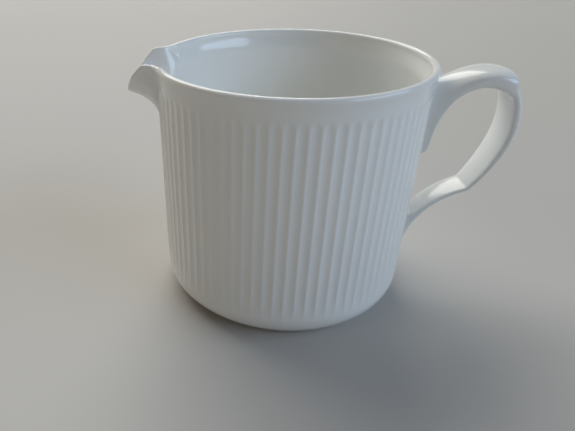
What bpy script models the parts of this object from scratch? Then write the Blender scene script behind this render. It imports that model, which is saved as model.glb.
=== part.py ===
"""Porcelain cream jug: a reeded cylindrical body, an applied pouring spout and a cast strap handle.

Frame: +Z up, the handle towards +X and the spout towards -X. The origin is the bottom centre of the
whole jug's box, so the body's own axis stands a little to the spout's side. Sizes are in metres. The
three pieces are cast one by one and luted together before firing, so each is a closed solid that
stops a thin joint short of its neighbour: the spout in a notch of the wall, the handle on the wall. Every shape below is worked out about the body's axis.
"""

import math

import bmesh
import bpy
from mathutils import Matrix, Vector

MM = 0.001
JOINT_GAP = 0.3 * MM

# Body
HEIGHT = 77.5 * MM
LIP_RADIUS = 42.0 * MM
LIP_THICKNESS = 2.3 * MM
BAND_RADIUS = 41.15 * MM
BAND_BOTTOM_Z = 71.0 * MM
REED_TOP_Z = 68.5 * MM
REED_TOP_RADIUS = 41.0 * MM
REED_BOTTOM_Z = 11.5 * MM
REED_BOTTOM_RADIUS = 40.1 * MM
REED_COUNT = 78
REED_DEPTH = 0.4 * MM
REED_PHASE = math.radians(1.7)
CORNER_RADIUS = 9.0 * MM
WALL = 2.9 * MM
FLARE_DEPTH = 7.0 * MM

# Foot ring and floor
FOOT_OUTER_RADIUS = 33.8 * MM
FOOT_WIDTH = 3.0 * MM
FOOT_RECESS = 2.0 * MM
FLOOR_Z = 5.2 * MM
CORNER_SWEEP = math.radians(68)

# Spout: half its outline on the wall and round its mouth, from the keel up to the lip, as
# (half width, height) in millimetres; the mouth also gives its reach from the body's axis
SPOUT_ROOT_OUTLINE = ((0.0, 58.4), (4.6, 60.3), (7.3, 63.8), (9.0, 68.0), (10.4, 72.2), (16.6, 77.0))
SPOUT_MOUTH_OUTLINE = (
    (0.0, 66.3, 50.8),
    (3.4, 67.7, 50.3),
    (6.3, 70.1, 49.3),
    (8.4, 72.6, 48.0),
    (10.1, 75.0, 46.1),
    (10.7, 77.2, 43.6),
)
SPOUT_WALL = 2.4 * MM
SPOUT_LIP = 1.8 * MM
SPOUT_STEPS = 5
SPOUT_SEAM = 0.4 * MM

# Handle: the strap's stations from the upper root down to the lower one, in millimetres, as
# (outer reach, outer height), (inner reach, inner height), half width
HANDLE_STATIONS = (
    ((43.6, 71.6), (43.0, 51.0), 6.2),
    ((45.4, 72.2), (43.6, 56.4), 6.5),
    ((48.4, 73.2), (45.3, 62.6), 6.8),
    ((52.0, 74.6), (49.3, 68.0), 7.0),
    ((56.4, 75.4), (53.8, 70.5), 7.0),
    ((60.9, 75.1), (58.4, 70.5), 7.0),
    ((64.3, 74.0), (61.6, 69.3), 6.9),
    ((65.8, 72.7), (63.1, 68.4), 6.7),
    ((64.9, 71.1), (64.0, 67.5), 6.6),
    ((66.9, 68.6), (64.9, 65.7), 6.6),
    ((68.3, 63.8), (65.8, 62.2), 6.6),
    ((68.7, 58.6), (65.6, 57.8), 6.6),
    ((67.7, 53.0), (64.7, 53.0), 6.5),
    ((65.7, 47.6), (62.9, 48.2), 6.4),
    ((62.4, 42.0), (60.0, 43.2), 6.1),
    ((58.2, 36.8), (56.8, 38.6), 5.7),
    ((53.2, 33.6), (52.6, 36.4), 5.4),
    ((48.6, 30.4), (48.4, 33.4), 5.1),
    ((44.8, 25.6), (45.0, 30.2), 4.9),
    ((42.4, 19.0), (43.0, 28.4), 4.6),
)
UPPER_ROOT_FOOTPRINT = (71.2, 49.6, 5.9)
LOWER_ROOT_FOOTPRINT = (14.6, 27.6, 4.2)
# One side of the strap's section from its domed outer face to its flat inner one, as
# (share of the half width, share of the thickness)
STRAP_SECTION = ((0.0, 0.0), (0.5, 0.09), (0.86, 0.36), (1.0, 0.7), (0.9, 0.97), (0.45, 1.0), (0.0, 1.0))

# The body's axis in the jug's frame: half way between the spout's tip and the handle's back
SPOUT_REACH = max(reach for y, z, reach in SPOUT_MOUTH_OUTLINE) * MM
HANDLE_REACH = max(outer[0] for outer, inner, half_width in HANDLE_STATIONS) * MM
BODY_AXIS_X = (SPOUT_REACH - HANDLE_REACH) / 2

PORCELAIN_COLOUR = (0.86, 0.87, 0.85, 1.0)


def clear_scene():
    for old in list(bpy.data.objects):
        bpy.data.objects.remove(old, do_unlink=True)


def new_collection(name):
    collection = bpy.data.collections.new(name)
    bpy.context.scene.collection.children.link(collection)
    return collection


def porcelain(name, roughness):
    material = bpy.data.materials.new(name)
    material.use_nodes = True
    shader = material.node_tree.nodes["Principled BSDF"]
    shader.inputs["Base Color"].default_value = PORCELAIN_COLOUR
    shader.inputs["Roughness"].default_value = roughness
    shader.inputs["Metallic"].default_value = 0.0
    return material


def add_object(name, mesh, collection, material=None):
    piece = bpy.data.objects.new(name, mesh)
    piece.location.x = BODY_AXIS_X
    collection.objects.link(piece)
    if material is not None:
        mesh.materials.clear()
        mesh.materials.append(material)
    mesh.shade_smooth()
    mesh.set_sharp_from_angle(angle=math.radians(40))
    return piece


def arc(centre, radius, start, end, steps):
    """Points (radius, height) on a circle, from the start angle to the end angle."""
    turn = (end - start) / steps
    return [
        (centre[0] + radius * math.cos(start + turn * i), centre[1] + radius * math.sin(start + turn * i))
        for i in range(steps + 1)
    ]


def body_profile():
    """Half section of the body, from the middle of its floor, over the lip and down to the foot."""
    corner = (REED_BOTTOM_RADIUS - CORNER_RADIUS, CORNER_RADIUS)
    lip_half = LIP_THICKNESS / 2
    inner_corner = CORNER_RADIUS - WALL
    inside = [(0.0, FLOOR_Z)]
    inside += arc((corner[0], FLOOR_Z + inner_corner), inner_corner, -math.pi / 2, 0.0, 4)
    inside += [(REED_TOP_RADIUS - WALL, HEIGHT - FLARE_DEPTH)]
    lip = arc((LIP_RADIUS - lip_half, HEIGHT - lip_half), lip_half, math.pi, 0.0, 4)
    outside = [
        (BAND_RADIUS, HEIGHT - 4.5 * MM),
        (BAND_RADIUS, BAND_BOTTOM_Z),
        (REED_TOP_RADIUS, REED_TOP_Z),
        (REED_BOTTOM_RADIUS, REED_BOTTOM_Z),
    ]
    outside += arc(corner, CORNER_RADIUS, 0.0, -CORNER_SWEEP, 4)
    foot_inner = FOOT_OUTER_RADIUS - FOOT_WIDTH
    foot = [
        (FOOT_OUTER_RADIUS, 0.0),
        (foot_inner, 0.0),
        (foot_inner - FOOT_RECESS / 2, FOOT_RECESS),
        (0.0, FOOT_RECESS),
    ]
    return inside + lip + outside + foot


def wall_radius(height):
    """Radius of the body's outer wall at a height."""
    if height > BAND_BOTTOM_Z:
        share = min(1.0, (height - BAND_BOTTOM_Z) / (HEIGHT - BAND_BOTTOM_Z - LIP_THICKNESS))
        return BAND_RADIUS + (LIP_RADIUS - BAND_RADIUS) * share
    share = max(0.0, (height - REED_BOTTOM_Z) / (REED_TOP_Z - REED_BOTTOM_Z))
    return REED_BOTTOM_RADIUS + (REED_TOP_RADIUS - REED_BOTTOM_RADIUS) * share


def on_circle(radius, side, y, height):
    """The point at a radius from the body's axis, on its +X (side 1) or -X side."""
    return Vector((side * math.sqrt(radius * radius - y * y), y, height))


def on_joint(y, height):
    """A point of the face that the handle is luted on by."""
    return on_circle(wall_radius(height) + JOINT_GAP, 1, y, height)


def turned_body(collection):
    """The body before its reeds: the profile turned about Z, as an applied mesh."""
    points = body_profile()
    outline = bpy.data.meshes.new("body_profile")
    outline.from_pydata([(r, 0.0, z) for r, z in points], [(i, i + 1) for i in range(len(points) - 1)], [])
    turning = bpy.data.objects.new("body_profile", outline)
    collection.objects.link(turning)
    screw = turning.modifiers.new("Turn", "SCREW")
    screw.steps = 2 * REED_COUNT
    screw.render_steps = 2 * REED_COUNT
    screw.use_merge_vertices = True
    screw.merge_threshold = 0.01 * MM
    bpy.context.view_layer.update()
    mesh = bpy.data.meshes.new_from_object(turning.evaluated_get(bpy.context.evaluated_depsgraph_get()))
    mesh.name = "body"
    bpy.data.objects.remove(turning, do_unlink=True)
    return mesh


def cut_reeds(mesh):
    """Press every second column of the reeded wall inwards, which leaves the reeds standing."""
    column = math.pi / REED_COUNT
    for vertex in mesh.vertices:
        x, y, z = vertex.co
        radius = math.hypot(x, y)
        reeded = REED_BOTTOM_Z - 0.1 * MM < z < REED_TOP_Z + 0.1 * MM
        outer = radius > REED_BOTTOM_RADIUS - 0.1 * MM
        if reeded and outer and round(math.atan2(y, x) / column) % 2 == 1:
            vertex.co.x *= 1 - REED_DEPTH / radius
            vertex.co.y *= 1 - REED_DEPTH / radius


def mirrored(half):
    """A closed-over U: the half outline's points at -Y, from the lip down, then up at +Y."""
    left = [Vector((p.x, -p.y, p.z)) for p in reversed(half)]
    return left + half[1:]


def inset_outline(outline, inset):
    """Half a U outline as (y, height), narrowed by the inset towards the middle of the channel."""
    points = []
    for index, (y, z, *reach) in enumerate(outline):
        low = 1 - index / (len(outline) - 1)
        points.append((max(0.0, y * MM - inset * (index > 0)), z * MM + inset * low))
    return points


def spout_root(inset, depth):
    """The spout's U where it passes through the wall, at a depth below the wall's outer face."""
    outline = inset_outline(SPOUT_ROOT_OUTLINE, inset)
    return mirrored([on_circle(wall_radius(z) - depth, -1, y, z) for y, z in outline])


def spout_mouth(inset):
    """The edge that the cream runs off, with the same number of points as the root."""
    outline = inset_outline(SPOUT_MOUTH_OUTLINE, inset)
    reaches = [reach * MM for y, z, reach in SPOUT_MOUTH_OUTLINE]
    return mirrored([Vector((-reach, y, z)) for (y, z), reach in zip(outline, reaches)])


def spout_skin(root, mouth, steps):
    """Rows of points from the root to the mouth. Each line leaves the wall steeply and curls out,
    the more so the nearer it is to the keel."""
    rows = []
    keel = len(root) // 2
    for step in range(steps + 1):
        t = step / steps
        row = []
        for index, (start, end) in enumerate(zip(root, mouth)):
            low = 1 - abs(index - keel) / keel
            reach = end - start
            out = 0.4 - 0.15 * low
            up = 0.65 + 0.15 * low
            pull = start + Vector((out * reach.x, up * reach.y, up * reach.z))
            row.append((1 - t) ** 2 * start + 2 * t * (1 - t) * pull + t * t * end)
        rows.append(row)
    return rows


def close_u(solid, loop):
    """Fill a U-shaped end with a strip between the ring's first half and its second."""
    half = len(loop) // 2
    for i in range(half - 1):
        solid.faces.new((loop[i], loop[i + 1], loop[-i - 2], loop[-i - 1]))
    if len(loop) % 2:
        solid.faces.new(loop[half - 1:half + 2])


def close_on_wall(solid, loop):
    """Fill a strap's end with two strips that meet in a line lying along the curve of the wall."""
    half = len(loop) // 2
    seam = [solid.verts.new(on_joint(0.0, loop[i].co.z)) for i in range(1, half - 1)]
    middle = [loop[0]] + seam + [loop[half]]
    for side in (loop[: half + 1], [loop[0]] + loop[:half - 1:-1]):
        solid.faces.new((side[0], side[1], middle[1]))
        for i in range(1, half - 2):
            solid.faces.new((side[i], side[i + 1], middle[i + 1], middle[i]))
        solid.faces.new((side[half - 2], side[half - 1], side[half], middle[half - 2]))


def ring_loft(name, rings, close_end):
    """A closed solid through rings of equal point counts."""
    solid = bmesh.new()
    loops = [[solid.verts.new(p) for p in ring] for ring in rings]
    count = len(loops[0])
    for near, far in zip(loops, loops[1:]):
        for i in range(count):
            j = (i + 1) % count
            solid.faces.new((near[i], near[j], far[j], far[i]))
    for loop in (loops[0], loops[-1]):
        close_end(solid, loop)
    bmesh.ops.recalc_face_normals(solid, faces=solid.faces)
    mesh = bpy.data.meshes.new(name)
    solid.to_mesh(mesh)
    solid.free()
    return mesh


def build_body(collection, cutters, material):
    mesh = turned_body(collection)
    cut_reeds(mesh)
    mesh.transform(Matrix.Rotation(REED_PHASE, 4, "Z"))
    body = add_object("body", mesh, collection, material)
    notch = add_object("notch_cutter", notch_mesh(), cutters)
    notch.hide_render = True
    notch.display_type = "WIRE"
    cut = body.modifiers.new("Spout notch", "BOOLEAN")
    cut.operation = "DIFFERENCE"
    cut.solver = "EXACT"
    cut.object = notch
    return body


def notch_mesh():
    """The notch that the spout sits in: its root outline, a seam wider, through wall and lip."""
    outline = spout_root(-SPOUT_SEAM, 0.0)
    above = Vector((0, 0, 5 * MM))
    loop = [outline[0] + above] + outline + [outline[-1] + above]
    outside = [Vector((-LIP_RADIUS - 5 * MM, p.y, p.z)) for p in loop]
    inside = [Vector((-LIP_RADIUS + 12 * MM, p.y, p.z)) for p in loop]
    return ring_loft("notch_cutter", [outside, inside], close_u)


def build_spout(collection, material):
    inner_face = spout_root(0.0, WALL)
    outer = [inner_face] + spout_skin(spout_root(0.0, 0.0), spout_mouth(0.0), SPOUT_STEPS)
    inner = spout_skin(spout_root(SPOUT_WALL, WALL), spout_mouth(SPOUT_LIP), SPOUT_STEPS + 1)
    rings = [out_row + in_row[::-1] for out_row, in_row in zip(outer, inner)]
    return add_object("spout", ring_loft("spout", rings, close_u), collection, material)


def strap_ring(outer, inner, half_width):
    """A strap section between a point of its outer face and one of its inner face."""
    start = Vector((outer[0], 0.0, outer[1])) * MM
    through = Vector((inner[0], 0.0, inner[1])) * MM - start
    side = [start + through * depth + Vector((0, half_width * MM * wide, 0)) for wide, depth in STRAP_SECTION]
    other = [Vector((p.x, -p.y, p.z)) for p in side[-2:0:-1]]
    return side + other


def root_ring(outer_z, inner_z, half_width):
    """The strap's footprint on the body's wall."""
    flat = strap_ring((0.0, outer_z), (0.0, inner_z), half_width)
    return [on_joint(p.y, p.z) for p in flat]


def build_handle(collection, material):
    rings = [root_ring(*UPPER_ROOT_FOOTPRINT)]
    rings += [strap_ring(*station) for station in HANDLE_STATIONS]
    rings += [root_ring(*LOWER_ROOT_FOOTPRINT)]
    return add_object("handle", ring_loft("handle", rings, close_on_wall), collection, material)


def main():
    clear_scene()
    jug = new_collection("cream_jug")
    cutters = new_collection("cutters")
    build_body(jug, cutters, porcelain("glazed_porcelain_body", 0.12))
    build_spout(jug, porcelain("glazed_porcelain_spout", 0.12))
    build_handle(jug, porcelain("glazed_porcelain_handle", 0.12))


main()
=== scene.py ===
"""Porcelain cream jug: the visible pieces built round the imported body, spout and handle.

The body and the spout are one turned wall: a half section is spun about the jug's axis, its flutes are
pressed in, and the wall round the spout is drawn out to the pouring edge. The wall is then parted along
the luted joint, so that body and spout are two closed pieces whose glaze runs on without a seam. The
handle is a strap drawn ring by ring along its own line and finished with a subdivision surface.
Shapes are worked out in millimetres about the body's axis and moved into the frame at the end.
"""

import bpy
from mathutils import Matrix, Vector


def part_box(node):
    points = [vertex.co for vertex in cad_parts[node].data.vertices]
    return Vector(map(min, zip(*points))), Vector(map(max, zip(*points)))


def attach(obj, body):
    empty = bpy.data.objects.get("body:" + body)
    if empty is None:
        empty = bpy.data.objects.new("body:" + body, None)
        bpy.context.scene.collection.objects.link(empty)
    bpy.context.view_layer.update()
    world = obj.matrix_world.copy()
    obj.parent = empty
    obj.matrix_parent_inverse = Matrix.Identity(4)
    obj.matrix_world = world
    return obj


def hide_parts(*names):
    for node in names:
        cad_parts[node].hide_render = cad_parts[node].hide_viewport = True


bl_info = {
    "name": "Porcelain Cream Jug",
    "version": (1, 0, 0),
    "blender": (4, 5, 0),
    "location": "View3D > Sidebar > Cream Jug",
    "description": "Builds a fluted porcelain cream jug with a drawn spout and a strap handle",
    "category": "Add Mesh",
}

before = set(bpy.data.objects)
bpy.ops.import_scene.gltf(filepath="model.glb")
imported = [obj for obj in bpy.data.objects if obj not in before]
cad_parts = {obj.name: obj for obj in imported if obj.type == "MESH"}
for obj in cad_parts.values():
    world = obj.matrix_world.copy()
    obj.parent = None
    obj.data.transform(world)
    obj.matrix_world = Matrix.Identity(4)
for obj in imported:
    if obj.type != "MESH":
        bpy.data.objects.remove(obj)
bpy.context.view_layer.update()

import math

import bmesh
import bpy
from bpy.props import FloatProperty, FloatVectorProperty, IntProperty, PointerProperty
from mathutils import Matrix, Vector

BODY_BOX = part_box("body")
MM = 0.001


def linear(code):
    """An sRGB hex colour as the linear one that shaders and lights take."""
    shares = [int(code[i:i + 2], 16) / 255 for i in (1, 3, 5)]
    return tuple(s / 12.92 if s <= 0.04045 else ((s + 0.055) / 1.055) ** 2.4 for s in shares)


# ---------------------------------------------------------------- sizes and colours a user would change


def length(name, description, millimetres):
    return FloatProperty(name=name, description=description, default=millimetres * MM, unit="LENGTH", precision=5)


def colour(name, description, code):
    return FloatVectorProperty(
        name=name, description=description, default=linear(code), subtype="COLOR", size=3, min=0, max=1
    )


class JugBodySizes(bpy.types.PropertyGroup):
    """Sizes of the turned wall that body and spout are made from."""

    height: FloatProperty(
        name="Height", description="From the table to the top of the lip",
        default=BODY_BOX[1].z, unit="LENGTH", precision=5,
    )
    lip_radius: FloatProperty(
        name="Lip radius", description="Outer radius of the lip",
        default=(BODY_BOX[1].y - BODY_BOX[0].y) / 2, unit="LENGTH", precision=5,
    )
    lip_thickness: length("Lip thickness", "Across the rounded lip", 2.3)
    band_radius: length("Band radius", "Outer radius of the plain band under the lip", 41.15)
    ridge_top_radius: length("Wall radius at the top", "Over the ridges, where the flutes end", 41.0)
    ridge_foot_radius: length("Wall radius at the foot", "Over the ridges, above the lower corner", 40.1)
    wall: length("Wall", "Thickness of the wall over the ridges", 2.9)
    corner_radius: length("Lower corner radius", "Round the bottom of the wall", 9.0)
    flute_depth: length("Flute depth", "How deep each flute is pressed into the wall", 0.3)
    flute_count: IntProperty(name="Flutes", description="Flutes round the wall", default=78, min=12, max=120)


class JugSpoutSizes(bpy.types.PropertyGroup):
    """Sizes of the drawn spout."""

    lip_thickness: length("Edge thickness", "Across the pouring edge", 1.35)


class JugHandleSizes(bpy.types.PropertyGroup):
    """How the strap handle meets the wall."""

    sink: length("Sink", "How far the strap's ends run into the wall", 1.2)
    fillet: length("Luting fillet", "Width of the slip round the strap's ends", 0.5)


class PorcelainColours(bpy.types.PropertyGroup):
    """Colours of the fired glaze, which also carry painted shade and painted highlight, and of the bare foot."""

    glaze: colour("Glaze", "Clear glaze over white porcelain", "#E9EAE4")
    # pooled glaze, darker and cooler: also painted shade in the flutes, creases, the handle's roots and the inner
    # floor corner
    pooled_glaze_and_shade: colour("Pooled glaze", "Thick glaze in the flutes and corners", "#DCE1DD")
    # thin glaze, lighter and warmer: also a painted highlight over ridges, edges and the lip's top
    thin_glaze_and_highlight: colour("Thin glaze", "Glaze drawn thin over ridges and edges", "#F0EDE4")
    biscuit: colour("Bare foot", "Unglazed porcelain of the foot ring", "#E6DDCB")


class JugStageSettings(bpy.types.PropertyGroup):
    """Floor and light."""

    floor: colour("Floor", "Plain pale floor", "#BDBAB5")
    window: colour("Window light", "Large soft light behind and to the left", "#FAF9F4")
    cool_fill: colour("Cool fill", "Soft light from the right", "#C4DAF5")
    warm_fill: colour("Warm fill", "Dim light from the front left", "#FFD9A3")


class CreamJugSettings(bpy.types.PropertyGroup):
    """Everything that the jug is built from."""

    body: PointerProperty(type=JugBodySizes)
    spout: PointerProperty(type=JugSpoutSizes)
    handle: PointerProperty(type=JugHandleSizes)
    porcelain: PointerProperty(type=PorcelainColours)
    stage: PointerProperty(type=JugStageSettings)


# ---------------------------------------------------------------- small helpers


def eased(low, high, x):
    """0 below low, 1 above high, and a smooth rise between them."""
    share = min(1.0, max(0.0, (x - low) / (high - low)))
    return share * share * (3 - 2 * share)


def read_off(table, x):
    """The value at x on a polyline of (x, value) pairs."""
    for (x0, v0), (x1, v1) in zip(table, table[1:]):
        if x <= x1:
            return v0 + (v1 - v0) * max(0.0, x - x0) / (x1 - x0)
    return table[-1][1]


def on_spline(points, place):
    """A point on the smooth curve through the points, at a place counted in points."""
    last = len(points) - 1
    index = min(int(place), last - 1)
    t = place - index
    before, start, end, after = (points[min(last, max(0, index + k))] for k in (-1, 0, 1, 2))
    return 0.5 * (
        2 * start
        + (end - before) * t
        + (2 * before - 5 * start + 4 * end - after) * t ** 2
        + (3 * start - before - 3 * end + after) * t ** 3
    )


def cubic(start, pull_start, pull_end, end, t):
    """A point on the curve that leaves start towards pull_start and reaches end from pull_end."""
    s = 1 - t
    return s ** 3 * start + 3 * s * s * t * pull_start + 3 * s * t * t * pull_end + t ** 3 * end


def add_node(tree, kind, settings=(), inputs=(), links=()):
    """One shader node with its settings, its input values and its links from other sockets."""
    node = tree.nodes.new(kind)
    for name, value in dict(settings).items():
        setattr(node, name, value)
    for name, value in dict(inputs).items():
        node.inputs[name].default_value = value
    for name, socket in dict(links).items():
        tree.links.new(socket, node.inputs[name])
    return node


# ---------------------------------------------------------------- the turned wall

# Azimuths are counted from the spout's side of the jug, in degrees
COLUMNS_PER_FLUTE = 8
FIRST_RIDGE = 3 / 8
SPOUT_HALF_SWEEP = 24.0

# Outer half of the underside and foot ring, as (radius, height)
UNDERSIDE = ((0.0, 2.3), (8.0, 2.28), (16.0, 2.2), (24.0, 2.05), (28.6, 1.9), (30.0, 1.5), (30.6, 0.8), (30.9, 0.25))
FOOT_RING = ((31.3, 0.0), (32.3, 0.0), (33.3, 0.0), (33.9, 0.2))
# Heights of the wall's rows that the spout leaves alone, then of those that climb to its crease
WALL_ROWS = (10.0, 10.8, 11.6, 12.4, 13.4, 15.0, 18.0, 22.0, 28.0, 34.0, 40.0, 45.0, 49.5)
CLIMB_START = 49.5
CLIMB_END = 75.2
CLIMB_ROWS = (
    51.5, 53.5, 55.5, 57.5, 59.5, 61.5, 63.3, 65.0, 66.3, 67.3, 68.1, 68.8, 69.4, 70.0,
    70.6, 71.2, 71.8, 72.4, 73.0, 73.7, 74.4, 75.2,
)
SKIN_ROWS = (0.03, 0.08, 0.15, 0.24, 0.34, 0.45, 0.56, 0.67, 0.78, 0.88, 0.96)
LIP_ROWS = (0, 14, 32, 51, 71, 90, 109, 129, 148, 166, 180)
INNER_SKIN_ROWS = (0.04, 0.1, 0.18, 0.27, 0.37, 0.47, 0.58, 0.69, 0.8, 0.9, 1.0)
DESCENT_START = 70.5
DESCENT_END = 47.0
DESCENT_ROWS = (69.0, 66.5, 63.0, 59.0, 55.0, 51.0, 47.0)
INSIDE_ROWS = (40.0, 32.0, 24.0, 17.0, 13.0, 11.3)
FLOOR_HEIGHT = 5.2

# Half the spout's crease on the wall, from the keel to where it runs out in the band
CREASE = (
    (0.0, 58.4), (2.4, 58.9), (4.6, 60.3), (6.1, 61.8), (7.3, 63.8), (8.2, 65.9), (9.0, 68.2),
    (9.7, 70.4), (10.6, 72.4), (12.2, 74.0), (14.2, 74.9), (16.6, 75.2), (99.0, 75.2),
)
# The same, for where the spout's inside leaves the inner wall
INNER_CREASE = (
    (0.0, 56.4), (4.6, 58.4), (7.3, 62.0), (9.0, 65.0), (10.6, 67.6), (13.0, 69.6), (15.5, 70.5), (99.0, 70.5),
)
# Half the pouring edge and lip line, from the plain lip to the tip: reach, half width, height
LIP_LINE = (
    (38.0, 14.8, 77.42), (39.7, 12.9, 77.32), (41.3, 11.75, 77.27), (42.7, 11.35, 77.2), (43.75, 11.15, 77.1),
    (44.45, 10.9, 76.75), (45.2, 10.6, 76.0), (46.3, 10.15, 74.9), (47.3, 9.4, 73.7), (48.05, 8.4, 72.6),
    (48.75, 7.35, 71.4), (49.35, 6.2, 70.25), (49.95, 4.9, 69.1), (50.4, 3.4, 68.05), (50.7, 1.75, 67.2),
    (50.85, 0.0, 66.85),
)
# How much the spout's skin climbs before it turns outwards, from 1 at the keel to 0, by half width at the crease
SKIN_LOW = ((0.0, 1.0), (4.6, 0.8), (7.3, 0.6), (9.0, 0.4), (10.6, 0.2), (16.6, 0.0), (99.0, 0.0))
# Half width given to columns on the jug's other half, past every table above
FAR_FROM_SPOUT = 99.0
# Where the plain band starts to flare out to the lip, and how sharply
FLARE_START = 71.0
FLARE_POWER = 1.7
# Directions, in degrees from the spout, of the plain lip's points before the sweep begins
LIP_RUN_UP = (38, 34.5, 31, 27.5, SPOUT_HALF_SWEEP)


def arc(centre, radius, start, end, steps):
    """Points (radius, height) on a circle from the start angle to the end angle, in degrees."""
    turns = [math.radians(start + (end - start) * i / steps) for i in range(steps + 1)]
    return [(centre[0] + radius * math.cos(a), centre[1] + radius * math.sin(a)) for a in turns]


class TurnedWall:
    """The jug's wall, floor, foot and spout as one surface of rows and columns, in millimetres."""

    def __init__(self, sizes, spout):
        self.height = sizes.height / MM
        self.lip_radius = sizes.lip_radius / MM
        self.lip_half = sizes.lip_thickness / MM / 2
        self.edge_half = spout.lip_thickness / MM / 2
        self.band = sizes.band_radius / MM
        self.top = sizes.ridge_top_radius / MM
        self.bottom = sizes.ridge_foot_radius / MM
        self.wall = sizes.wall / MM
        self.corner = sizes.corner_radius / MM
        self.depth = sizes.flute_depth / MM
        self.flutes = sizes.flute_count
        self.columns = self.flutes * COLUMNS_PER_FLUTE
        self.edge = self.edge_points()
        self.edge_lengths = self.measured_edge()
        self.rows = self.section()
        zones = [row[0] for row in self.rows]
        self.crease_row = zones.index("skin") - 1
        self.inner_row = len(zones) - 1 - zones[::-1].index("inner_skin")

    def outer_radius(self, z):
        """Radius over the ridges: a slight cone, then the plain band that flares to the lip."""
        cone = read_off(((11.5, self.bottom), (68.5, self.top), (71.5, self.band), (99.0, self.band)), z)
        flare = max(0.0, z - FLARE_START) / (self.height - self.lip_half - FLARE_START)
        return cone + (self.lip_radius - self.band) * flare ** FLARE_POWER

    def inner_radius(self, z):
        return self.top - self.wall - (self.top - self.bottom) * (DESCENT_START - z) / 57.0

    def section(self):
        """Rows of the half section as (zone, radius, height or share), from the underside to the inner floor."""
        corner_centre = (self.bottom - self.corner, self.corner)
        rows = [("fixed", r, z) for r, z in UNDERSIDE]
        rows += [("foot", r, z) for r, z in FOOT_RING]
        rows += [("fixed", r, z) for r, z in arc(corner_centre, self.corner, -66, -4, 13)]
        rows += [("fluted", 0.0, z) for z in (9.2,) + WALL_ROWS]
        rows += [("climb", 0.0, (z - CLIMB_START) / (CLIMB_END - CLIMB_START)) for z in CLIMB_ROWS]
        rows += [("skin", 0.0, t) for t in SKIN_ROWS]
        rows += [("lip", 0.0, math.radians(a)) for a in LIP_ROWS]
        rows += [("inner_skin", 0.0, t) for t in INNER_SKIN_ROWS]
        rows += [("descent", 0.0, (DESCENT_START - z) / (DESCENT_START - DESCENT_END)) for z in DESCENT_ROWS]
        rows += [("inside", 0.0, z) for z in INSIDE_ROWS]
        inner_corner = self.corner - self.wall
        floor_corner = (self.inner_radius(11.3) - inner_corner, FLOOR_HEIGHT + inner_corner)
        rows += [("fixed", r, z) for r, z in arc(floor_corner, inner_corner, -8, -90, 8)]
        rows += [("fixed", r, FLOOR_HEIGHT - 0.05) for r in (24.0, 14.0, 0.0)]
        return rows

    def flute(self, degrees, z):
        """Share of the full depth that the wall is pressed in by: round-bottomed flutes between narrow
        ridges, each one ending in a soft round top under the band and fading into the lower corner."""
        across = (degrees * self.flutes / 360 + FIRST_RIDGE) % 1.0
        off_centre = abs(2 * across - 1)
        shape = 1 - off_centre ** 2
        top = 71.9 - 1.6 * off_centre ** 2
        return shape * eased(7.6, 15.5, z) * (1 - eased(top - 3.0, top, z))

    def edge_points(self):
        """The lip's crest from the plain lip on one side, round the spout's tip, to a little past it."""
        crest = self.lip_radius - self.lip_half
        circle = [(crest * math.cos(math.radians(a)), crest * math.sin(math.radians(a)), self.height)
                  for a in LIP_RUN_UP]
        half = [Vector((-reach, y, z)) for reach, y, z in tuple(circle) + LIP_LINE]
        return half + [Vector((p.x, -p.y, p.z)) for p in half[-2:-5:-1]]

    def measured_edge(self):
        """(length from the start of the spout's sweep, place on the spline) all the way to the tip."""
        start = len(LIP_RUN_UP) - 1
        steps = 12
        lengths = [(0.0, float(start))]
        for i in range(1, len(LIP_LINE) * steps + 1):
            place = start + i / steps
            run = (on_spline(self.edge, place) - on_spline(self.edge, place - 1 / steps)).length
            lengths.append((lengths[-1][0] + run, place))
        return lengths

    def skin_pull(self, low):
        """How far towards the edge the skin's curve is pulled along x, y and z: up first, and then out."""
        return Vector((0.4 - 0.15 * low, 0.65 + 0.15 * low, 0.65 + 0.15 * low))

    def column(self, degrees):
        """The points that every row of one column is placed from, on the side of positive y."""
        a = math.radians(degrees)
        outward = Vector((-math.cos(a), math.sin(a), 0))
        half_width = self.top * math.sin(a) if degrees < 90 else FAR_FROM_SPOUT
        share = max(0.0, 1 - degrees / SPOUT_HALF_SWEEP)
        crease_z = read_off(CREASE, half_width)
        root = outward * self.outer_radius(crease_z) + Vector((0, 0, crease_z))
        inner_z = read_off(INNER_CREASE, half_width)
        inner_root = outward * self.inner_radius(inner_z) + Vector((0, 0, inner_z))
        up = Vector((0, 0, 1))
        if share > 0:
            total = self.edge_lengths[-1][0]
            place = read_off(self.edge_lengths, total * share * (0.65 + 0.35 * share))
            apex = on_spline(self.edge, place)
            run = (on_spline(self.edge, place + 0.05) - on_spline(self.edge, place - 0.05)).normalized()
            low = read_off(SKIN_LOW, half_width)
            spout_pull = self.skin_pull(low)
            pull = root + spout_pull * (apex - root)
            rise = up.lerp((apex - pull).normalized(), eased(0.0, 0.3, share)).normalized()
        else:
            apex = outward * (self.lip_radius - self.lip_half) + Vector((0, 0, self.height))
            run = Vector((-math.sin(a), -math.cos(a), 0))
            rise = up
        through = rise.cross(run).normalized()
        top = run.cross(through).normalized()
        half = self.lip_half + (self.edge_half - self.lip_half) * eased(0.0, 0.55, share)
        middle = apex - top * half
        outer_end = middle - through * half
        inner_end = middle + through * half
        reach = outer_end - root
        if share > 0:
            wall_pull = root + reach * 0.5
            pull = wall_pull.lerp(root + spout_pull * reach, eased(0.0, 0.3, share))
        else:
            pull = root + reach * 0.5
        inner_reach = (inner_end - inner_root).length
        return {
            "degrees": degrees, "outward": outward, "root": root, "pull": pull, "outer_end": outer_end,
            "middle": middle, "through": through, "top": top, "half": half, "inner_end": inner_end,
            "inner_root": inner_root,
            "inner_pull_low": inner_root + up * inner_reach * 0.42,
            "inner_pull_high": inner_end - rise * inner_reach * 0.3,
        }

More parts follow.
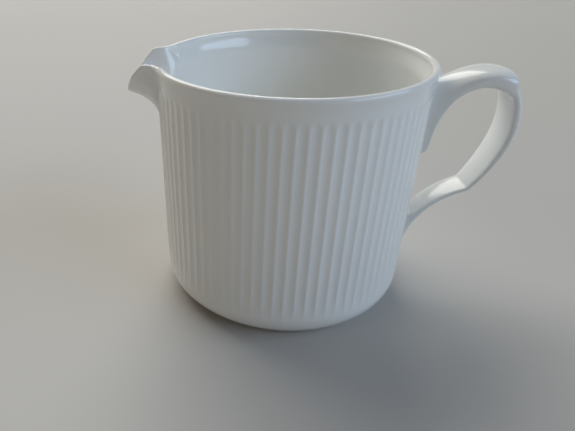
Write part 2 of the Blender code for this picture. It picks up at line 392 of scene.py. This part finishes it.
    def place(self, row, column, side):
        """Where a row's vertex stands in a column, and how thick the glaze lies there with painted shade and painted
        highlight laid on it (0 thin and lit to 1 pooled and shaded).
        """
        zone, radius, value = self.rows[row]
        outward = column["outward"]
        glaze = 0.5
        if zone in ("fixed", "foot"):
            point = outward * radius + Vector((0, 0, value))
            # painted shade: the inner corner where the wall meets the floor gets the darker pooled colour
            glaze = 0.62 if value > FLOOR_HEIGHT - 1 and radius > 30 and row > self.inner_row else 0.5
        elif zone in ("fluted", "climb"):
            z = value
            if zone == "climb":
                z = CLIMB_START + (column["root"].z - CLIMB_START) * value
            pressed = self.flute(side * column["degrees"], z)
            point = outward * (self.outer_radius(z) - self.depth * pressed) + Vector((0, 0, z))
            # the glaze pools in the flutes and runs thin over the ridges; the darker flutes are also painted shade
            # and the lighter ridges a painted highlight
            glaze = 0.25 + 0.65 * pressed if z < 71 else 0.45
        elif zone == "skin":
            s = 1 - value
            point = s * s * column["root"] + 2 * s * value * column["pull"] + value ** 2 * column["outer_end"]
            # painted shade along the spout's crease, on top of the glaze pooled there
            glaze = 0.8 - 0.4 * eased(0.0, 0.25, value)
        elif zone == "lip":
            point = (column["middle"] - column["through"] * (column["half"] * math.cos(value))
                     + column["top"] * (column["half"] * math.sin(value)))
            # painted highlight: the lip's top gets the lightest, warmest colour, on top of the glaze running thin
            # there
            glaze = 0.45 - 0.4 * math.sin(value)
        elif zone == "inner_skin":
            point = cubic(
                column["inner_end"], column["inner_pull_high"], column["inner_pull_low"], column["inner_root"], value
            )
        else:
            z = value
            if zone == "descent":
                z = column["inner_root"].z + (DESCENT_END - column["inner_root"].z) * value
            point = outward * self.inner_radius(z) + Vector((0, 0, z))
        return Vector((point.x, side * point.y, point.z)), glaze


def turn_wall(wall):
    """Spin the half section about the jug's axis and set every vertex in its place on the wall."""
    mesh = bmesh.new()
    row_of = mesh.verts.layers.int.new("row")
    pool_and_shade_of = mesh.verts.layers.float.new("glaze_pool")
    turn_of = mesh.verts.layers.float.new("turn")
    mesh.verts.layers.float_vector.new("run_on_normal")
    plain = wall.column(180.0)
    line = []
    for row in range(len(wall.rows)):
        point, _ = wall.place(row, plain, 1)
        # the section starts on the spout's side, so that one column lies on the spout's middle line
        vertex = mesh.verts.new((-point.x, 0.0, point.z))
        vertex[row_of] = row
        line.append(vertex)
    edges = [mesh.edges.new(pair) for pair in zip(line, line[1:])]
    # one flute's width of wall is turned, and then repeated round the axis
    width = math.tau / wall.flutes
    bmesh.ops.spin(
        mesh, geom=line + edges, cent=(0, 0, 0), axis=(0, 0, 1), angle=width,
        steps=COLUMNS_PER_FLUTE, use_merge=False, use_duplicate=False,
    )
    bmesh.ops.spin(
        mesh, geom=mesh.verts[:] + mesh.edges[:] + mesh.faces[:], cent=(0, 0, 0), axis=(0, 0, 1),
        angle=math.tau - width, steps=wall.flutes - 1, use_merge=False, use_duplicate=True,
    )
    bmesh.ops.remove_doubles(mesh, verts=mesh.verts, dist=0.002)
    columns = {}
    for vertex in mesh.verts:
        turn = math.degrees(math.atan2(vertex.co.y, -vertex.co.x))
        index = round(turn * wall.columns / 360)
        if abs(index) not in columns:
            columns[abs(index)] = wall.column(abs(index) * 360 / wall.columns)
        vertex[turn_of] = columns[abs(index)]["degrees"]
        vertex.co, vertex[pool_and_shade_of] = wall.place(vertex[row_of], columns[abs(index)], -1 if index < 0 else 1)
    soften_crease(mesh, wall)
    bmesh.ops.recalc_face_normals(mesh, faces=mesh.faces)
    mesh.normal_update()
    return mesh


def soften_crease(mesh, wall):
    """The crease is sharp low on the spout and opens into a soft hollow where the band runs out on to it."""
    row_of = mesh.verts.layers.int["row"]
    crease = wall.crease_row
    for reach_low, reach_high, lowest, highest, rounds in ((3, 7, 70.6, 76.4, 10), (1, 2, 50.0, 70.6, 2)):
        soft = [
            v for v in mesh.verts
            if crease - reach_low <= v[row_of] <= crease + reach_high and lowest < v.co.z <= highest
            and v.co.x < 0 and abs(v.co.y) < 18.5
        ]
        for _ in range(rounds):
            bmesh.ops.smooth_vert(mesh, verts=soft, factor=0.5, use_axis_x=True, use_axis_y=True, use_axis_z=True)


def part_wall(mesh, wall, keep_spout):
    """Keep one side of the luted joint, close the joint's faces and remember the whole wall's normals."""
    row_of = mesh.verts.layers.int["row"]
    normal_of = mesh.verts.layers.float_vector["run_on_normal"]
    for vertex in mesh.verts:
        vertex[normal_of] = vertex.normal
    turn_of = mesh.verts.layers.float["turn"]
    drop = []
    for face in mesh.faces:
        rows = [v[row_of] for v in face.verts]
        in_rows = min(rows) >= wall.crease_row and max(rows) <= wall.inner_row
        in_sweep = all(v[turn_of] <= SPOUT_HALF_SWEEP + 0.6 for v in face.verts)
        if (in_rows and in_sweep) != keep_spout:
            drop.append(face)
    bmesh.ops.delete(mesh, geom=drop, context="FACES")
    rim = [e for e in mesh.edges if e.is_boundary]
    outer = [e for e in rim if all(v[row_of] == wall.crease_row for v in e.verts)]
    inner = [e for e in rim if all(v[row_of] == wall.inner_row for v in e.verts)]
    joint = bmesh.ops.bridge_loops(mesh, edges=outer + inner)["faces"]
    sides = [e for e in mesh.edges if e.is_boundary]
    joint += bmesh.ops.holes_fill(mesh, edges=sides, sides=0)["faces"]
    for face in joint:
        for edge in face.edges:
            edge.smooth = False
    bmesh.ops.recalc_face_normals(mesh, faces=mesh.faces)
    return joint


def jug_axis(settings):
    """Where the jug's own axis stands along x in the frame, in metres."""
    return BODY_BOX[1].x - settings.body.lip_radius


def finish_piece(name, mesh, materials, axis_x):
    """A piece of the jug from a bmesh in millimetres, moved into the frame."""
    bmesh.ops.transform(mesh, matrix=Matrix.Translation((axis_x, 0, 0)) @ Matrix.Scale(MM, 4), verts=mesh.verts)
    data = bpy.data.meshes.new(name)
    mesh.to_mesh(data)
    mesh.free()
    for material in materials:
        data.materials.append(material)
    data.shade_smooth()
    piece = bpy.data.objects.new(name, data)
    bpy.context.scene.collection.objects.link(piece)
    return piece


def run_normals_on(data, joint_faces):
    """Light the piece as if its wall ran on past the joint, so the joint doesn't show in the glaze."""
    kept = data.attributes["run_on_normal"].data
    normals = [None] * len(data.loops)
    for polygon in data.polygons:
        for loop in polygon.loop_indices:
            vertex = data.loops[loop].vertex_index
            normals[loop] = tuple(polygon.normal if polygon.index in joint_faces else kept[vertex].vector)
    data.normals_split_custom_set(normals)
    data.attributes.remove(data.attributes["run_on_normal"])


def wall_piece(name, settings, keep_spout):
    """The body or the spout: one side of the turned wall's luted joint."""
    wall = TurnedWall(settings.body, settings.spout)
    mesh = turn_wall(wall)
    joint = part_wall(mesh, wall, keep_spout)
    mesh.faces.index_update()
    joint_faces = {face.index for face in joint}
    row_of = mesh.verts.layers.int["row"]
    foot_rows = [i for i, row in enumerate(wall.rows) if row[0] == "foot"]
    for face in mesh.faces:
        face.smooth = True
        if not keep_spout and all(v[row_of] in foot_rows for v in face.verts):
            face.material_index = 1
    materials = [glazed_porcelain(settings.porcelain)]
    if not keep_spout:
        materials.append(biscuit_porcelain(settings.porcelain))
    piece = finish_piece(name, mesh, materials, jug_axis(settings))
    run_normals_on(piece.data, joint_faces)
    return piece


# ---------------------------------------------------------------- the strap handle

# Stations down the strap from its upper root: (outer reach, height), (inner reach, height), half width.
# The sixth to eighth are the thumb rest, and the fifteenth to seventeenth the kink over the lower root.
STRAP_STATIONS = (
    ((43.2, 71.5), (42.75, 50.0), 6.1),
    ((45.1, 72.15), (43.4, 57.0), 6.4),
    ((49.1, 73.55), (46.6, 65.2), 6.75),
    ((54.0, 75.0), (51.9, 69.6), 7.0),
    ((59.2, 75.45), (57.0, 70.4), 7.0),
    ((63.4, 74.4), (61.3, 69.0), 6.95),
    ((65.05, 73.05), (63.0, 67.9), 6.75),
    ((64.95, 71.65), (63.6, 67.35), 6.65),
    ((66.35, 68.8), (64.2, 65.9), 6.75),
    ((67.8, 65.1), (64.7, 63.4), 6.85),
    ((68.5, 59.4), (65.0, 58.9), 6.95),
    ((67.65, 53.5), (64.5, 53.7), 6.9),
    ((65.15, 47.45), (62.75, 48.15), 6.65),
    ((61.65, 41.4), (60.1, 42.4), 6.2),
    ((59.1, 37.4), (57.7, 38.45), 5.65),
    ((57.8, 36.2), (56.75, 37.5), 5.5),
    ((56.0, 35.4), (55.2, 36.95), 5.4),
    ((51.8, 33.1), (50.9, 34.7), 5.2),
    ((47.2, 28.9), (46.7, 31.45), 5.0),
    ((43.4, 23.0), (43.6, 28.2), 4.8),
    ((42.1, 19.4), (42.4, 27.1), 4.6),
)
RINGS_PER_STATION = 2
# Where each root meets the wall: height of the outer face, height of the inner face, half width
UPPER_FOOTPRINT = (71.3, 49.3, 5.9)
LOWER_FOOTPRINT = (14.8, 26.7, 4.4)
# The section: radius of its inner edges, depth of its crown, and how far its inner face swells
EDGE_ROUNDING = 1.0
CROWN_SHARE = 0.42
CROWN_MOST = 6.0
INNER_SWELL = 0.3


def strap_section(half_width, thickness):
    """The strap's section as (across, through) in millimetres: a crown outside, upright sides and an almost
    flat inner face with rounded edges, from the crown round one side and back up the other."""
    crown = min(CROWN_SHARE * thickness, CROWN_MOST)
    rounding = min(EDGE_ROUNDING, 0.45 * thickness)
    upright = thickness - crown - rounding
    side = [
        (0.0, 0.0), (0.35 * half_width, 0.05 * crown), (0.62 * half_width, 0.2 * crown),
        (0.84 * half_width, 0.5 * crown), (0.96 * half_width, 0.84 * crown),
        (half_width, crown + 0.4 * upright), (half_width, thickness - rounding),
        (half_width - 0.27 * rounding, thickness - 0.27 * rounding),
        (half_width - rounding, thickness), (0.4 * half_width, thickness + 0.8 * INNER_SWELL),
        (0.0, thickness + INNER_SWELL),
    ]
    return side + [(-across, through) for across, through in side[-2:0:-1]]


def strap_rings(wall, handle):
    """Every ring of the strap in order, as lists of points, from inside the wall to inside the wall."""

    def footprint(size, out, wider):
        top, bottom, half_width = size
        downward = math.copysign(1.0, bottom - top)
        thickness = abs(bottom - top) + 2 * wider
        ring = []
        for across, through in strap_section(half_width + wider, thickness):
            z = top + downward * (through - wider)
            radius = wall.outer_radius(z) + out
            ring.append(Vector((math.sqrt(radius * radius - across * across), across, z)))
        return ring

    sink, fillet = handle.sink / MM, handle.fillet / MM
    roots = ((-sink, fillet), (-0.45, fillet), (0.08, 0.62 * fillet), (0.5, 0.2 * fillet), (1.1, 0.0))
    rings = [footprint(UPPER_FOOTPRINT, out, wider) for out, wider in roots]
    stations = [Vector((*outer, *inner, half_width)) for outer, inner, half_width in STRAP_STATIONS]
    for step in range((len(stations) - 1) * RINGS_PER_STATION + 1):
        outer_x, outer_z, inner_x, inner_z, half_width = on_spline(stations, step / RINGS_PER_STATION)
        start = Vector((outer_x, 0, outer_z))
        through_line = Vector((inner_x, 0, inner_z)) - start
        inward = through_line.normalized()
        rings.append([
            start + inward * through + Vector((0, across, 0))
            for across, through in strap_section(half_width, through_line.length)
        ])
    rings += [footprint(LOWER_FOOTPRINT, out, wider) for out, wider in reversed(roots)]
    return rings


def draw_strap(settings):
    """Draw a circle of clay along the handle's line, giving each ring its own section."""
    wall = TurnedWall(settings.body, settings.spout)
    rings = strap_rings(wall, settings.handle)
    mesh = bmesh.new()
    around = mesh.verts.layers.int.new("around")
    pool_and_shade_of = mesh.verts.layers.float.new("glaze_pool")
    count = len(rings[0])
    ring = bmesh.ops.create_circle(mesh, cap_ends=False, radius=1.0, segments=count)["verts"]
    ring.sort(key=lambda v: math.atan2(v.co.y, v.co.x) % math.tau)
    for index, vertex in enumerate(ring):
        vertex[around] = index
    edges = list({e for v in ring for e in v.link_edges})
    ends = []
    for number, points in enumerate(rings):
        if number:
            drawn = bmesh.ops.extrude_edge_only(mesh, edges=edges)["geom"]
            ring = [g for g in drawn if isinstance(g, bmesh.types.BMVert)]
            edges = [g for g in drawn if isinstance(g, bmesh.types.BMEdge)]
        at_root = min(number, len(rings) - 1 - number)
        for vertex in ring:
            vertex.co = points[vertex[around]]
            # painted highlight and painted shade: the strap's edges get the lighter, warmer thin-glaze colour, and
            # its ends at the wall get the darker pooled colour
            edge_share = eased(0.8, 1.0, abs(vertex.co.y) / max(abs(p.y) for p in points))
            vertex[pool_and_shade_of] = max(0.5 - 0.35 * edge_share, 0.9 - 0.12 * at_root)
        if number in (0, len(rings) - 1):
            ends.append(edges)
    for end in ends:
        bmesh.ops.holes_fill(mesh, edges=end, sides=0)
    bmesh.ops.recalc_face_normals(mesh, faces=mesh.faces)
    for face in mesh.faces:
        face.smooth = True
    return mesh


# ---------------------------------------------------------------- materials


def new_material(name):
    material = bpy.data.materials.get(name)
    if material is not None:
        return material, None, None
    material = bpy.data.materials.new(name)
    material.use_nodes = True
    tree = material.node_tree
    return material, tree, tree.nodes["Principled BSDF"]


def glazed_porcelain(colours):
    """Hard porcelain dipped in clear glaze and fired: a bright, even white under a glassy skin. The glaze
    lies thicker and cooler in the flutes and thinner and warmer over ridges and edges; that darker tone is also
    painted shade in flutes, creases, the handle's roots and the inner floor corner, and the lighter one a painted
    highlight over ridges, edges and the lip's top. Its skin is very slightly wavy, which makes highlights waver."""
    material, tree, shader = new_material("glazed_porcelain")
    if tree is None:
        return material
    place = add_node(tree, "ShaderNodeTexCoord").outputs["Object"]
    # cloudiness of the fired glaze, 20 mm across
    cloud = add_node(tree, "ShaderNodeTexNoise", inputs={"Scale": 50.0, "Detail": 2.0}, links={"Vector": place})
    # glaze thickness per vertex, also carrying painted shade in flutes, creases and corners and a painted highlight
    # on ridges and edges
    pool_and_shade = add_node(tree, "ShaderNodeAttribute", {"attribute_name": "glaze_pool"})
    uneven = add_node(
        tree, "ShaderNodeMath", {"operation": "MULTIPLY_ADD"}, {1: 0.24, 2: -0.12}, {0: cloud.outputs["Fac"]}
    )
    thickness = add_node(
        tree, "ShaderNodeMath", {"operation": "ADD", "use_clamp": True},
        links={0: pool_and_shade.outputs["Fac"], 1: uneven.outputs["Value"]},
    )
    # the ramp paints thin glaze and highlight light and warm, and pooled glaze and shade dark and cool
    ramp = add_node(tree, "ShaderNodeValToRGB", links={"Fac": thickness.outputs["Value"]})
    ramp.color_ramp.elements[0].color = (*colours.thin_glaze_and_highlight, 1)
    ramp.color_ramp.elements[1].color = (*colours.pooled_glaze_and_shade, 1)
    ramp.color_ramp.elements[0].position = 0.1
    ramp.color_ramp.elements[1].position = 0.9
    ramp.color_ramp.elements.new(0.5).color = (*colours.glaze, 1)
    tree.links.new(ramp.outputs["Color"], shader.inputs["Base Color"])
    # faint waves in the glaze, 7 mm apart and a few thousandths deep, and finer ones 1.5 mm apart
    waves = add_node(tree, "ShaderNodeTexNoise", inputs={"Scale": 140.0, "Detail": 1.0}, links={"Vector": place})
    peel = add_node(tree, "ShaderNodeTexNoise", inputs={"Scale": 700.0, "Detail": 1.0}, links={"Vector": place})
    wavy = add_node(
        tree, "ShaderNodeBump", inputs={"Strength": 1.0, "Distance": 0.00003}, links={"Height": waves.outputs["Fac"]}
    )
    skin = add_node(
        tree, "ShaderNodeBump", inputs={"Strength": 1.0, "Distance": 0.000002},
        links={"Height": peel.outputs["Fac"], "Normal": wavy.outputs["Normal"]},
    )
    tree.links.new(skin.outputs["Normal"], shader.inputs["Normal"])
    tree.links.new(skin.outputs["Normal"], shader.inputs["Coat Normal"])
    gloss = add_node(
        tree, "ShaderNodeMapRange", inputs={"To Min": 0.1, "To Max": 0.2}, links={"Value": cloud.outputs["Fac"]}
    )
    tree.links.new(gloss.outputs["Result"], shader.inputs["Roughness"])
    shader.inputs["IOR"].default_value = 1.5
    shader.inputs["Specular IOR Level"].default_value = 0.35
    shader.inputs["Coat Weight"].default_value = 0.8
    shader.inputs["Coat Roughness"].default_value = 0.04
    shader.inputs["Coat IOR"].default_value = 1.5
    shader.inputs["Subsurface Weight"].default_value = 0.12
    shader.inputs["Subsurface Radius"].default_value = (1.0, 0.85, 0.7)
    shader.inputs["Subsurface Scale"].default_value = 0.0012
    return material


def biscuit_porcelain(colours):
    """Unglazed porcelain, wiped clean of glaze and ground flat: matt, a little creamier, with a fine grain."""
    material, tree, shader = new_material("biscuit_porcelain_foot")
    if tree is None:
        return material
    place = add_node(tree, "ShaderNodeTexCoord").outputs["Object"]
    # grog and grinding marks, drawn 0.4 mm across so that they show
    grain = add_node(tree, "ShaderNodeTexNoise", inputs={"Scale": 2500.0, "Detail": 3.0}, links={"Vector": place})
    worn = add_node(tree, "ShaderNodeTexNoise", inputs={"Scale": 180.0, "Detail": 2.0}, links={"Vector": place})
    ramp = add_node(tree, "ShaderNodeValToRGB", links={"Fac": worn.outputs["Fac"]})
    ramp.color_ramp.elements[0].color = (*(c * 0.82 for c in colours.biscuit), 1)
    ramp.color_ramp.elements[1].color = (*colours.biscuit, 1)
    ramp.color_ramp.elements[0].position = 0.35
    ramp.color_ramp.elements[1].position = 0.6
    tree.links.new(ramp.outputs["Color"], shader.inputs["Base Color"])
    bump = add_node(
        tree, "ShaderNodeBump", inputs={"Strength": 0.6, "Distance": 0.00004}, links={"Height": grain.outputs["Fac"]}
    )
    tree.links.new(bump.outputs["Normal"], shader.inputs["Normal"])
    rough = add_node(
        tree, "ShaderNodeMapRange", inputs={"To Min": 0.65, "To Max": 0.85}, links={"Value": grain.outputs["Fac"]}
    )
    tree.links.new(rough.outputs["Result"], shader.inputs["Roughness"])
    shader.inputs["IOR"].default_value = 1.5
    return material


def matt_floor(settings):
    """Painted board, rolled: pale and matt, with a faint mottle that keeps it from looking like a void."""
    material, tree, shader = new_material("painted_board_floor")
    place = add_node(tree, "ShaderNodeTexCoord").outputs["Object"]
    mottle = add_node(tree, "ShaderNodeTexNoise", inputs={"Scale": 9.0, "Detail": 3.0}, links={"Vector": place})
    ramp = add_node(tree, "ShaderNodeValToRGB", links={"Fac": mottle.outputs["Fac"]})
    ramp.color_ramp.elements[0].color = (*(c * 0.97 for c in settings.floor), 1)
    ramp.color_ramp.elements[1].color = (*settings.floor, 1)
    tree.links.new(ramp.outputs["Color"], shader.inputs["Base Color"])
    shader.inputs["Roughness"].default_value = 0.6
    return material


# ---------------------------------------------------------------- stage

# The stage, in metres: a round floor whose rim curves up into a wall
FLOOR_RADIUS = 2.2
COVE_RADIUS = 0.9
COVE_ANGLES = range(10, 91, 10)
# Name, place, size and power in watts of each soft light
LIGHTS = (
    ("window", (-1.0, 2.05, 2.3), (3.4, 2.4), 98.0),
    ("cool_fill", (2.2, -0.7, 1.4), (2.4, 1.0), 38.0),
    ("warm_fill", (-1.5, -1.3, 1.2), (1.3, 0.9), 2.2),
)
LIGHTS_AIM_HEIGHT = 0.04
ROOM_COLOUR = "#E2DFD8"
ROOM_STRENGTH = 0.08
# The camera: lens in millimetres, place in millimetres from the jug's own axis, angles in degrees
CAMERA_LENS = 34.315
CAMERA_SENSOR = 36.0
CAMERA_SHIFT_X = 0.1429
CAMERA_PLACE = (-10.01, -168.55, 117.96)
CAMERA_PITCH = 29.7565
CAMERA_YAW = 5.77
CAMERA_ROLL = -0.7746


def lay_floor(settings):
    """A round floor whose rim curves up into a wall, so that no horizon shows."""
    board = bmesh.new()
    bmesh.ops.create_circle(board, cap_ends=True, radius=FLOOR_RADIUS, segments=96)
    edges = [e for e in board.edges if e.is_boundary]
    for angle in COVE_ANGLES:
        turn = math.radians(angle)
        drawn = bmesh.ops.extrude_edge_only(board, edges=edges)["geom"]
        edges = [g for g in drawn if isinstance(g, bmesh.types.BMEdge)]
        for vertex in (g for g in drawn if isinstance(g, bmesh.types.BMVert)):
            vertex.co.xy = vertex.co.xy.normalized() * (FLOOR_RADIUS + COVE_RADIUS * math.sin(turn))
            vertex.co.z = COVE_RADIUS * (1 - math.cos(turn))
    bmesh.ops.recalc_face_normals(board, faces=board.faces)
    board.faces.ensure_lookup_table()
    if board.faces[0].normal.z < 0:
        bmesh.ops.reverse_faces(board, faces=board.faces)
    data = bpy.data.meshes.new("floor")
    board.to_mesh(data)
    board.free()
    data.shade_smooth()
    data.materials.append(matt_floor(settings))
    floor = bpy.data.objects.new("floor", data)
    bpy.context.scene.collection.objects.link(floor)


def area_light(name, place, target, size, power, tint):
    data = bpy.data.lights.new(name, "AREA")
    data.shape = "RECTANGLE"
    data.size, data.size_y = size
    data.energy = power
    data.color = tint
    light = bpy.data.objects.new(name, data)
    light.location = place
    light.rotation_euler = (Vector(target) - Vector(place)).to_track_quat("-Z", "Y").to_euler()
    bpy.context.scene.collection.objects.link(light)


def set_camera(axis_x):
    data = bpy.data.cameras.new("camera")
    data.sensor_width = CAMERA_SENSOR
    data.lens = CAMERA_LENS
    data.shift_x = CAMERA_SHIFT_X
    data.clip_start, data.clip_end = 0.01, 20.0
    camera = bpy.data.objects.new("camera", data)
    x, y, z = (value * MM for value in CAMERA_PLACE)
    camera.location = (x + axis_x, y, z)
    turn = (
        Matrix.Rotation(math.radians(CAMERA_YAW), 4, "Z")
        @ Matrix.Rotation(math.radians(90 - CAMERA_PITCH), 4, "X")
        @ Matrix.Rotation(math.radians(CAMERA_ROLL), 4, "Z")
    )
    camera.rotation_euler = turn.to_euler()
    bpy.context.scene.collection.objects.link(camera)
    bpy.context.scene.camera = camera


# ---------------------------------------------------------------- operators


class JUG_OT_turn_body(bpy.types.Operator):
    """Turn the fluted body and press its flutes"""

    bl_idname = "jug.turn_body"
    bl_label = "Turn the body"

    def execute(self, context):
        piece = wall_piece("jug_body", context.scene.cream_jug, keep_spout=False)
        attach(piece, "root")
        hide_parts("body")
        return {"FINISHED"}


class JUG_OT_draw_spout(bpy.types.Operator):
    """Draw the pouring spout out of the wall"""

    bl_idname = "jug.draw_spout"
    bl_label = "Draw the spout"

    def execute(self, context):
        piece = wall_piece("jug_spout", context.scene.cream_jug, keep_spout=True)
        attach(piece, "root")
        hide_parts("spout")
        return {"FINISHED"}


class JUG_OT_lute_handle(bpy.types.Operator):
    """Draw the strap handle and lute it to the wall"""

    bl_idname = "jug.lute_handle"
    bl_label = "Lute the handle on"

    def execute(self, context):
        settings = context.scene.cream_jug
        material = glazed_porcelain(settings.porcelain)
        piece = finish_piece("jug_handle", draw_strap(settings), [material], jug_axis(settings))
        smoothing = piece.modifiers.new("Smooth strap", "SUBSURF")
        smoothing.levels = smoothing.render_levels = 2
        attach(piece, "root")
        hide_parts("handle")
        return {"FINISHED"}


class JUG_OT_set_stage(bpy.types.Operator):
    """Lay the floor and set the lights and the camera"""

    bl_idname = "jug.set_stage"
    bl_label = "Set the stage"

    def execute(self, context):
        settings = context.scene.cream_jug.stage
        axis_x = jug_axis(context.scene.cream_jug)
        lay_floor(settings)
        middle = (axis_x, 0.0, LIGHTS_AIM_HEIGHT)
        for name, place, size, power in LIGHTS:
            area_light(name, place, middle, size, power, getattr(settings, name))
        world = bpy.data.worlds.new("studio")
        world.use_nodes = True
        background = world.node_tree.nodes["Background"]
        background.inputs["Color"].default_value = (*linear(ROOM_COLOUR), 1)
        background.inputs["Strength"].default_value = ROOM_STRENGTH
        context.scene.world = world
        context.scene.view_settings.view_transform = "Standard"
        set_camera(axis_x)
        return {"FINISHED"}


class JUG_PT_panel(bpy.types.Panel):
    """Sizes, colours and steps of the cream jug"""

    bl_idname = "JUG_PT_panel"
    bl_label = "Cream Jug"
    bl_space_type = "VIEW_3D"
    bl_region_type = "UI"
    bl_category = "Cream Jug"

    def draw(self, context):
        settings = context.scene.cream_jug
        for group in (settings.body, settings.spout, settings.handle, settings.porcelain, settings.stage):
            box = self.layout.box()
            for name in group.__annotations__:
                box.prop(group, name)
        for operator in OPERATORS:
            self.layout.operator(operator.bl_idname)


OPERATORS = (JUG_OT_turn_body, JUG_OT_draw_spout, JUG_OT_lute_handle, JUG_OT_set_stage)
CLASSES = (
    JugBodySizes, JugSpoutSizes, JugHandleSizes, PorcelainColours, JugStageSettings, CreamJugSettings,
    *OPERATORS, JUG_PT_panel,
)


def register():
    for entry in CLASSES:
        bpy.utils.register_class(entry)
    bpy.types.Scene.cream_jug = PointerProperty(type=CreamJugSettings)


def unregister():
    del bpy.types.Scene.cream_jug
    for entry in reversed(CLASSES):
        bpy.utils.unregister_class(entry)


def main():
    register()
    bpy.ops.jug.turn_body()
    bpy.ops.jug.draw_spout()
    bpy.ops.jug.lute_handle()
    bpy.ops.jug.set_stage()


if __name__ == "__main__":
    main()
